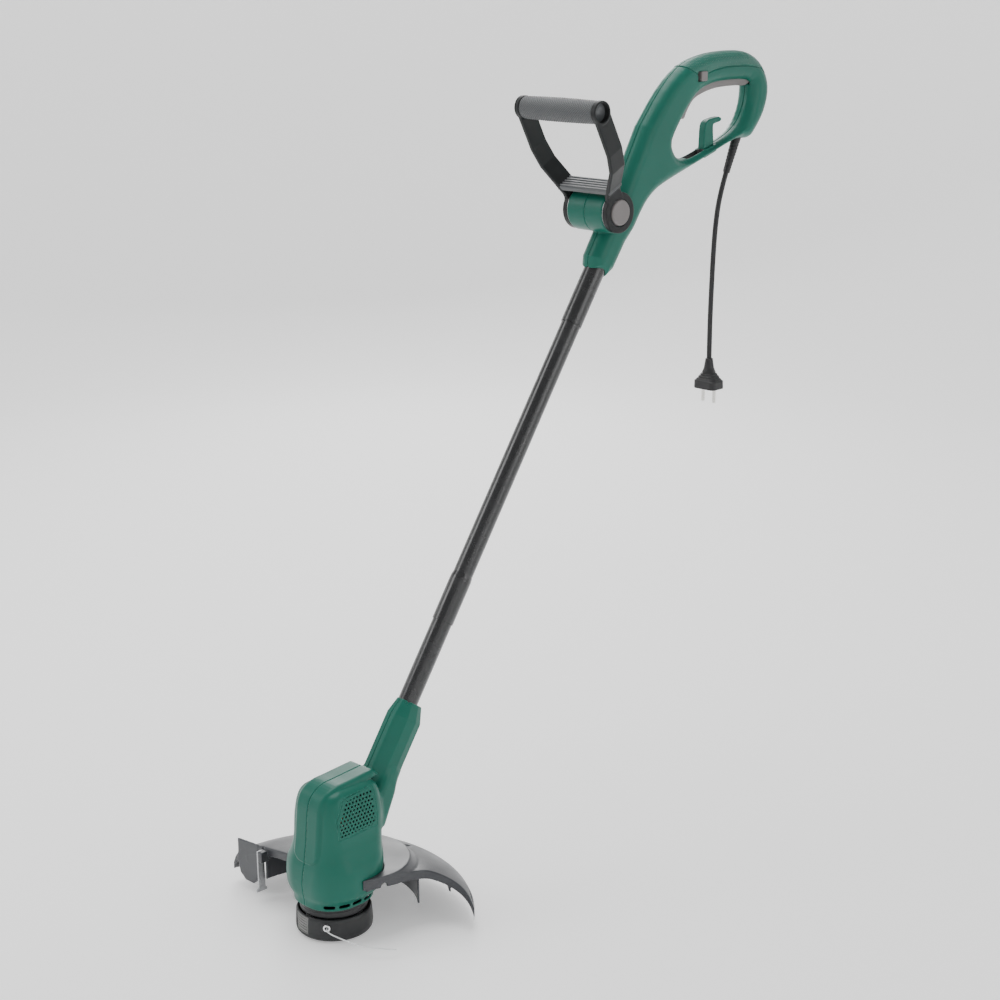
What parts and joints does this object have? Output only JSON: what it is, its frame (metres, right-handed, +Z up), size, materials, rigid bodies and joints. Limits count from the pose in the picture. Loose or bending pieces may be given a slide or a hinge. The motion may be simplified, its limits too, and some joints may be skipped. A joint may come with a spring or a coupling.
{
  "type": "string trimmer",
  "caption": "Corded grass trimmer: green motor head with line spool and guard, angled black tube shaft, tilting front grip and closed rear handle with trigger.",
  "frame": {"origin": "centre of the flat underside of the tap knob on the spool head", "axes": "+Z up along the head's spin axis in the working pose, +Y towards the user and the rear handle, X = 0 is the plane of the shaft"},
  "size_m": [0.3208, 0.8359, 0.9994],
  "materials": {
    "green_plastic": "moulded satin green plastic",
    "steel_screw": "zinc-plated steel",
    "black_plastic": "moulded black plastic with a fine grain",
    "head_plastic": "moulded black plastic",
    "spring_steel": "hardened spring steel",
    "painted_tube": "gloss black powder coat on steel tube",
    "wire_jacket": "black lead jacket",
    "grey_plastic": "moulded warm grey plastic",
    "pale_plastic": "moulded light grey plastic",
    "lead_rubber": "moulded black rubber",
    "plug_metal": "nickel-plated brass",
    "grip_plastic": "dark grey plastic with a diamond pattern",
    "lamination_steel": "stacked lamination steel",
    "copper_winding": "enamelled copper",
    "bracket_plastic": "glass-filled plastic",
    "carbon": "carbon",
    "eyelet_metal": "bright metal eyelet",
    "nylon_line": "translucent white nylon line"
  },
  "bodies": {
    "root": {"motor_housing_left": "green_plastic", "motor_housing_right": "green_plastic", "housing_screws": "steel_screw", "guard": "black_plastic", "guard_screws": "steel_screw", "line_cutter": "spring_steel", "cutter_screw": "steel_screw", "lower_tube": "painted_tube", "middle_tube": "painted_tube", "upper_tube": "painted_tube", "supply_wire": "wire_jacket", "rear_handle_left": "green_plastic", "rear_handle_right": "green_plastic", "handle_screws": "steel_screw", "trigger_pin": "steel_screw", "power_switch": "bracket_plastic", "cable_hook": "green_plastic", "cord_sleeve": "lead_rubber", "lead_in_sleeve": "wire_jacket", "mains_cord": "wire_jacket", "plug_body": "lead_rubber", "plug_pins": "plug_metal", "index_washers": "pale_plastic", "button_springs": "spring_steel", "field_core": "lamination_steel", "field_coils": "copper_winding", "lower_bracket": "bracket_plastic", "upper_bracket": "bracket_plastic", "carbon_brushes": "carbon", "lower_bearing": "spring_steel", "upper_bearing": "spring_steel"},
    "cutting_head": {"drive_shaft": "spring_steel", "armature": "lamination_steel", "commutator": "copper_winding", "cooling_fan": "bracket_plastic", "head_hub": "head_plastic", "spool_cup": "black_plastic", "line_eyelet": "eyelet_metal", "line_spool": "head_plastic", "wound_line": "nylon_line", "feed_spring": "spring_steel", "cutting_line": "nylon_line"},
    "tap": {"tap_knob": "black_plastic"},
    "latch_front": {"spool_latch_front": "pale_plastic"},
    "latch_rear": {"spool_latch_rear": "pale_plastic"},
    "trigger_body": {"trigger": "grey_plastic"},
    "lock_off": {"lock_off_slider": "grey_plastic"},
    "front_handle": {"front_handle_frame": "black_plastic", "front_grip_sleeve": "grip_plastic"},
    "button_right": {"adjust_button_right": "grey_plastic"},
    "button_left": {"adjust_button_left": "grey_plastic"}
  },
  "joints": [
    {"name": "head_spin", "type": "hinge", "parent": "root", "child": "cutting_head", "pos_m": [0, 0, 0.02], "axis": [0, 0, 1], "continuous": true},
    {"name": "tap_press", "type": "slide", "parent": "cutting_head", "child": "tap", "axis": [0, 0, 1], "range_m": [0, 0.004], "stiffness_N_per_m": 1500, "springref_m": -0.003},
    {"name": "latch_front_press", "type": "slide", "parent": "cutting_head", "child": "latch_front", "axis": [0.1736, 0.9848, 0], "range_m": [0, 0.0015], "stiffness_N_per_m": 3000, "springref_m": -0.001},
    {"name": "latch_rear_press", "type": "slide", "parent": "cutting_head", "child": "latch_rear", "axis": [-0.1736, -0.9848, 0], "range_m": [0, 0.0015], "stiffness_N_per_m": 3000, "springref_m": -0.001},
    {"name": "trigger_press", "type": "hinge", "parent": "root", "child": "trigger_body", "pos_m": [0, 0.748, 0.966], "axis": [-1, 0, 0], "range_deg": [0, 3], "stiffness_Nm_per_rad": 2, "springref_deg": -8.59},
    {"name": "lock_off_slide", "type": "slide", "parent": "root", "child": "lock_off", "axis": [0, -1, 0], "range_m": [0, 0.005], "stiffness_N_per_m": 400, "springref_m": -0.003},
    {"name": "front_handle_tilt", "type": "hinge", "parent": "root", "child": "front_handle", "pos_m": [0, 0.4647, 0.8157], "axis": [1, 0, 0], "range_deg": [-45, 60]},
    {"name": "button_right_press", "type": "slide", "parent": "root", "child": "button_right", "axis": [-1, 0, 0], "range_m": [0, 0.003], "stiffness_N_per_m": 2000, "springref_m": -0.002},
    {"name": "button_left_press", "type": "slide", "parent": "root", "child": "button_left", "axis": [1, 0, 0], "range_m": [0, 0.003], "stiffness_N_per_m": 2000, "springref_m": -0.002}
  ]
}
